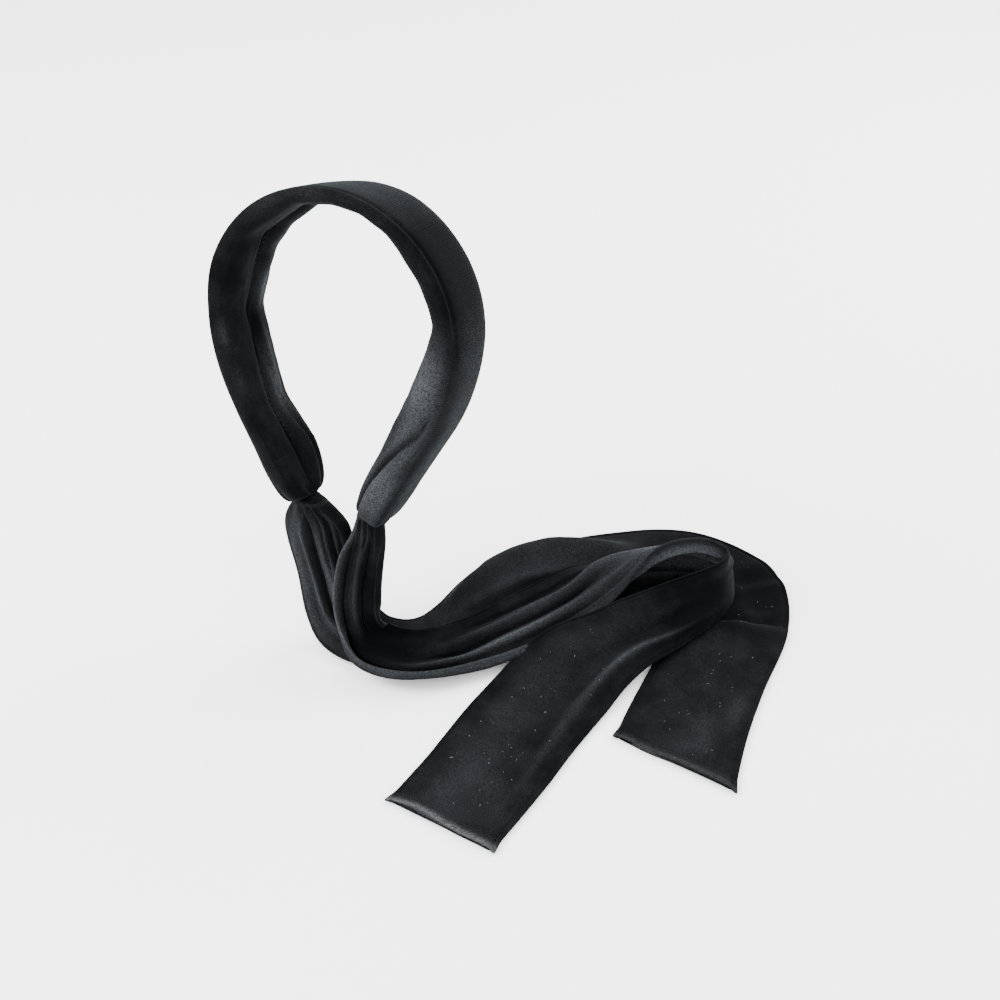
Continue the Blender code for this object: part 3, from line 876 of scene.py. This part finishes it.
def stitchTree():
    # stitches laid along a path, each one turned a little to one side and then the other
    tree, given, result = newTree("stitches", (
        ("stitchGap", "NodeSocketFloat"), ("stitchLength", "NodeSocketFloat"),
        ("threadWidth", "NodeSocketFloat"), ("slant", "NodeSocketFloat"),
        ("seed", "NodeSocketInt"), ("finish", "NodeSocketMaterial")))
    path = node(tree, "GeometryNodeMeshToCurve", None, {"Mesh": given.outputs[0]})
    spaced = node(tree, "GeometryNodeResampleCurve", {"mode": "LENGTH"},
                  {"Curve": path.outputs[0], "Length": given.outputs["stitchGap"]})
    radius = node(tree, "ShaderNodeMath", {"operation": "MULTIPLY", 1: 0.5},
                  {0: given.outputs["threadWidth"]})
    stitch = node(tree, "GeometryNodeMeshCylinder", {"Vertices": 7, "Side Segments": 3},
                  {"Radius": radius.outputs[0], "Depth": given.outputs["stitchLength"]})
    tangent = node(tree, "GeometryNodeInputTangent")
    up = node(tree, "GeometryNodeInputNamedAttribute", {"data_type": "FLOAT_VECTOR", "Name": "surfaceUp"})
    alongPath = node(tree, "FunctionNodeAlignRotationToVector", {"axis": "Z"},
                     {"Vector": tangent.outputs[0]})
    onSurface = node(tree, "FunctionNodeAlignRotationToVector", {"axis": "X", "pivot_axis": "Z"},
                     {"Rotation": alongPath.outputs[0], "Vector": up.outputs[0]})
    index = node(tree, "GeometryNodeInputIndex")
    odd = node(tree, "ShaderNodeMath", {"operation": "PINGPONG", 1: 1.0}, {0: index.outputs[0]})
    sign = node(tree, "ShaderNodeMath", {"operation": "MULTIPLY_ADD", 1: 2.0, 2: -1.0},
                {0: odd.outputs[0]})
    stray = node(tree, "FunctionNodeRandomValue", {"data_type": "FLOAT"},
                 {"Seed": given.outputs["seed"]})
    stray.inputs[2].default_value = -0.16
    stray.inputs[3].default_value = 0.16
    turn = node(tree, "ShaderNodeMath", {"operation": "MULTIPLY_ADD"},
                {0: sign.outputs[0], 1: given.outputs["slant"], 2: stray.outputs[1]})
    swing = node(tree, "FunctionNodeAxisAngleToRotation", {"Axis": (1.0, 0.0, 0.0)},
                 {"Angle": turn.outputs[0]})
    turned = node(tree, "FunctionNodeRotateRotation", {"rotation_space": "LOCAL"},
                  {0: onSurface.outputs[0], 1: swing.outputs[0]})
    placed = node(tree, "GeometryNodeInstanceOnPoints", None,
                  {"Points": spaced.outputs[0], "Instance": stitch.outputs[0],
                   "Rotation": turned.outputs[0]})
    closeTree(tree, given, result, placed.outputs[0])
    return tree


def windingTree():
    # one thread wound along a path
    tree, given, result = newTree("winding", (
        ("threadWidth", "NodeSocketFloat"), ("stepLength", "NodeSocketFloat"),
        ("finish", "NodeSocketMaterial")))
    path = node(tree, "GeometryNodeMeshToCurve", None, {"Mesh": given.outputs[0]})
    spaced = node(tree, "GeometryNodeResampleCurve", {"mode": "LENGTH"},
                  {"Curve": path.outputs[0], "Length": given.outputs["stepLength"]})
    radius = node(tree, "ShaderNodeMath", {"operation": "MULTIPLY", 1: 0.5},
                  {0: given.outputs["threadWidth"]})
    profile = node(tree, "GeometryNodeCurvePrimitiveCircle", {"Resolution": 7},
                   {"Radius": radius.outputs[0]})
    tube = node(tree, "GeometryNodeCurveToMesh", {"Fill Caps": True},
                {"Curve": spaced.outputs[0], "Profile Curve": profile.outputs[0]})
    closeTree(tree, given, result, tube.outputs[0])
    return tree


def lintTree():
    # short fibres lying on the cloth where lintArea is 1
    tree, given, result = newTree("lint", (
        ("fibresPerSquareMetre", "NodeSocketFloat"), ("fibreLength", "NodeSocketFloat"),
        ("fibreWidth", "NodeSocketFloat"), ("seed", "NodeSocketInt"),
        ("finish", "NodeSocketMaterial")))
    area = node(tree, "GeometryNodeInputNamedAttribute", {"data_type": "FLOAT", "Name": "lintArea"})
    density = node(tree, "ShaderNodeMath", {"operation": "MULTIPLY"},
                   {0: area.outputs[0], 1: given.outputs["fibresPerSquareMetre"]})
    spots = node(tree, "GeometryNodeDistributePointsOnFaces", {"distribute_method": "RANDOM"},
                 {"Mesh": given.outputs[0], "Density": density.outputs[0],
                  "Seed": given.outputs["seed"]})
    radius = node(tree, "ShaderNodeMath", {"operation": "MULTIPLY", 1: 0.5},
                  {0: given.outputs["fibreWidth"]})
    fibre = node(tree, "GeometryNodeMeshCylinder", {"Vertices": 5, "Side Segments": 2},
                 {"Radius": radius.outputs[0], "Depth": given.outputs["fibreLength"]})
    lying = node(tree, "GeometryNodeTransform", {"Rotation": (math.pi / 2, 0.0, 0.0),
                                                 "Translation": (0.0, 0.0, 0.0001)},
                 {"Geometry": fibre.outputs[0]})
    spin = node(tree, "FunctionNodeRandomValue", {"data_type": "FLOAT"},
                {"Seed": given.outputs["seed"]})
    spin.inputs[2].default_value = 0.0
    spin.inputs[3].default_value = 2 * math.pi
    turn = node(tree, "FunctionNodeAxisAngleToRotation", {"Axis": (0.0, 0.0, 1.0)},
                {"Angle": spin.outputs[1]})
    turned = node(tree, "FunctionNodeRotateRotation", {"rotation_space": "LOCAL"},
                  {0: spots.outputs["Rotation"], 1: turn.outputs[0]})
    size = node(tree, "FunctionNodeRandomValue", {"data_type": "FLOAT"},
                {"Seed": given.outputs["seed"]})
    size.inputs[2].default_value = 0.35
    size.inputs[3].default_value = 1.3
    placed = node(tree, "GeometryNodeInstanceOnPoints", None,
                  {"Points": spots.outputs[0], "Instance": lying.outputs[0],
                   "Rotation": turned.outputs[0], "Scale": size.outputs[1]})
    closeTree(tree, given, result, placed.outputs[0])
    return tree


def pathMesh(name, points, ups):
    mesh = bpy.data.meshes.new(name)
    mesh.from_pydata(points, [(i, i + 1) for i in range(len(points) - 1)], [])
    layer = mesh.attributes.new("surfaceUp", "FLOAT_VECTOR", "POINT")
    layer.data.foreach_set("vector", [value for up in ups for value in up])
    return mesh


def grow(name, source, tree, inputs):
    # runs a tree on a mesh and keeps the result as a plain mesh
    holder = addObject(name + "Source", source)
    modifier = holder.modifiers.new("grow", "NODES")
    modifier.node_group = tree
    for item in tree.interface.items_tree:
        if item.item_type == "SOCKET" and item.in_out == "INPUT" and item.name in inputs:
            modifier[item.identifier] = inputs[item.name]
    depsgraph = bpy.context.evaluated_depsgraph_get()
    mesh = bpy.data.meshes.new_from_object(holder.evaluated_get(depsgraph))
    holder.modifiers.remove(modifier)
    bpy.data.objects.remove(holder)
    mesh.name = name
    return addObject(name, mesh)


# a seam's stitches: one to the next, length, slant in radians, share of the thread's width, seed
seams = {
    "cover": (0.0030, 0.0024, 0.95, 1.0, 3),
    "end": (0.0021, 0.0026, 0.42, 1.0, 5),
    "edge": (0.0026, 0.0017, 0.30, 0.8, 7),
}
thread = {
    "width": 0.00042,
    "coverHalf": 0.184,  # the cover's seam runs this far each way from the crown
    "coverPoints": 240,
    "coverSink": 0.00005,  # and lies this far down in its groove
    "endInset": 0.0036,
    "endProud": 0.00008,
    "edgeSink": 0.0001,
    "edgeFrom": 0.014,
    "edgeEnd": 0.004,
    "windTurns": 4,
    "windPitch": 0.0005,
    "windStart": 0.0012,
    "windProud": 0.00012,
    "windStep": 0.0007,
}
lintLook = {
    "fibresPerSquareMetre": 8200.0,
    "fibreLength": 0.0008,
    "fibreWidth": 0.00013,
    "seeds": {"left": 12, "right": 21},
}
stitches, winding, lint = stitchTree(), windingTree(), lintTree()


def sew(name, points, ups, seam):
    gap, length, slant, share, seed = seams[seam]
    return grow(name, pathMesh(name + "Path", points, ups), stitches,
                {"stitchGap": gap, "stitchLength": length, "threadWidth": thread["width"] * share,
                 "slant": slant, "seed": seed, "finish": threadMaterial})


def seamOnCover():
    # overcast stitches that close the cover, down in the groove of its inner face
    points, ups = [], []
    for i in range(thread["coverPoints"] + 1):
        arc = mix(-thread["coverHalf"], thread["coverHalf"], i / thread["coverPoints"])
        ring = coverRing(arc, 0.0, 0.0)[0]
        centre = sum(ring, Vector()) / len(ring)
        spot = ring[hoop["sides"] * 3 // 4]
        up = (spot - centre).normalized()
        points.append(spot - up * thread["coverSink"])
        ups.append(up)
    piece = sew("coverSeamStitches", points, ups, "cover")
    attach(piece, "band")
    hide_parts("cover_seam_thread")


def endStitches(side):
    # the stitches that close the end, a little way in on the upper face
    rings, lengths = tailPieces[side]["rings"], tailPieces[side]["lengths"]
    inset = lengths[-1] - thread["endInset"]
    k = min(range(len(lengths)), key=lambda i: abs(inset - lengths[i]))
    proud = Vector((0, 0, thread["endProud"]))
    row = [rings[k][i] + proud for i in range(5, tailForm["sides"] // 2 - 4)]
    ups = [Vector((0.0, 0.0, 1.0))] * len(row)
    piece = sew(side + "TailEndStitches", row, ups, "end")
    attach(piece, side + "_tail")
    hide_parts(side + "_tail_end_thread")


def edgeStitches(side):
    # the lengthwise seam, along the near edge
    rings, lengths = tailPieces[side]["rings"], tailPieces[side]["lengths"]
    points, ups = [], []
    for ring, length in zip(rings, lengths):
        if thread["edgeFrom"] < length < lengths[-1] - thread["edgeEnd"]:
            nearEdge = ring[tailForm["sides"] // 2]
            inward = (ring[0] - nearEdge).normalized()
            points.append(nearEdge + inward * thread["edgeSink"])
            ups.append(-inward)
    piece = sew(side + "TailSeamStitches", points, ups, "edge")
    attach(piece, side + "_tail")
    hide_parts(side + "_tail_seam")


def neckWinding(side):
    # thread wound round the gathered neck, just under the cover's mouth
    tail, total, sides = tailPieces[side]["tail"], tailPieces[side]["lengths"][-1], tailForm["sides"]
    places, lengths = tailRoute(tail)
    points = []
    for i in range(0, thread["windTurns"] * sides + 1, 2):
        drop = thread["windStart"] + thread["windPitch"] * i / sides
        j = next(j for j in range(len(lengths)) if lengths[j + 1] > drop)
        share = (drop - lengths[j]) / (lengths[j + 1] - lengths[j])
        ring = tailRing(tail, mix(places[j], places[j + 1], share), drop, total)
        spot = ring[i % sides][0]
        centre = (ring[0][0] + ring[sides // 2][0]) / 2
        points.append(spot + (spot - centre).normalized() * thread["windProud"])
    piece = grow(side + "NeckWinding",
                 pathMesh(side + "WindPath", points, [Vector((0, 0, 1))] * len(points)), winding,
                 {"threadWidth": thread["width"], "stepLength": thread["windStep"],
                  "finish": threadMaterial})
    bendAtNeck(piece)
    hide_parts(side + "_neck_binding")


def strayLint(side):
    # the pale fibres that black velvet always picks up
    piece = grow(side + "TailLint", tailPieces[side]["piece"].data.copy(), lint,
                 {"fibresPerSquareMetre": lintLook["fibresPerSquareMetre"],
                  "fibreLength": lintLook["fibreLength"], "fibreWidth": lintLook["fibreWidth"],
                  "seed": lintLook["seeds"][side], "finish": lintMaterial})
    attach(piece, side + "_tail")


seamOnCover()
print("cover's seam stitched")
for side in ("left", "right"):
    endStitches(side)
    edgeStitches(side)
    neckWinding(side)
    strayLint(side)
    print(side, "tail threads and lint made")


studio = {
    "floorHalf": 3.0,
    "floorDrop": 0.0002,
    "floorColour": "fcfcfc",
    "light": "ffffff",
    "lightStrength": 3.4,
    "aimRight": 0.06,  # the lamps point this far to the right of the necks
}


def buildStage():
    mesh = bpy.data.meshes.new("floor")
    half = studio["floorHalf"]
    corners = [(-half, -half, 0), (half, -half, 0), (half, half, 0), (-half, half, 0)]
    mesh.from_pydata(corners, [], [(0, 1, 2, 3)])
    material, tree, shader = newMaterial("paleStudioFloor")
    shader.inputs["Base Color"].default_value = linear(studio["floorColour"])
    shader.inputs["Roughness"].default_value = 0.9
    mesh.materials.append(material)
    floor = addObject("floor", mesh)
    floor.location.z = -studio["floorDrop"]
    world = bpy.data.worlds.new("studio")
    world.use_nodes = True
    background = world.node_tree.nodes["Background"]
    background.inputs["Color"].default_value = linear(studio["light"])
    background.inputs["Strength"].default_value = studio["lightStrength"]
    scene.world = world


lights = {
    "key": {"at": (-0.9, -0.5, 0.9), "size": 0.6, "watts": 30.0},
    "back": {"at": (0.5, 0.9, 0.8), "size": 0.8, "watts": 22.0},
}


def addLight(name, light):
    data = bpy.data.lights.new(name, "AREA")
    data.energy = light["watts"]
    data.size = light["size"]
    thing = bpy.data.objects.new(name, data)
    scene.collection.objects.link(thing)
    target = neckMiddle + Vector((studio["aimRight"], 0.0, 0.0))
    thing.location = target + Vector(light["at"])
    thing.rotation_euler = (target - thing.location).to_track_quat("-Z", "Y").to_euler()


cameraView = {"azimuth": 22.0, "elevation": 37.5, "lensMm": 50.0, "distance": 0.70,
              "right": 0.08064, "up": 0.00585}


def addCamera(settings):
    azimuth, elevation = math.radians(settings["azimuth"]), math.radians(settings["elevation"])
    flat = math.cos(elevation)
    back = Vector((math.sin(azimuth) * flat, -math.cos(azimuth) * flat, math.sin(elevation)))
    right = Vector((math.cos(azimuth), math.sin(azimuth), 0.0))
    up = back.cross(right)
    data = bpy.data.cameras.new("camera")
    data.lens = settings["lensMm"]
    thing = bpy.data.objects.new("camera", data)
    scene.collection.objects.link(thing)
    place = neckMiddle + back * settings["distance"]
    thing.location = place + right * settings["right"] + up * settings["up"]
    thing.rotation_euler = back.to_track_quat("Z", "Y").to_euler()
    scene.camera = thing


buildStage()
for lightName, light in lights.items():
    addLight(lightName, light)
addCamera(cameraView)
for nodeName, material in (("foam_pad", foamMaterial), ("springy_strip", stripMaterial)):
    frame["nodes"][nodeName].data.materials.clear()
    frame["nodes"][nodeName].data.materials.append(material)
print("stage, lights and camera set")
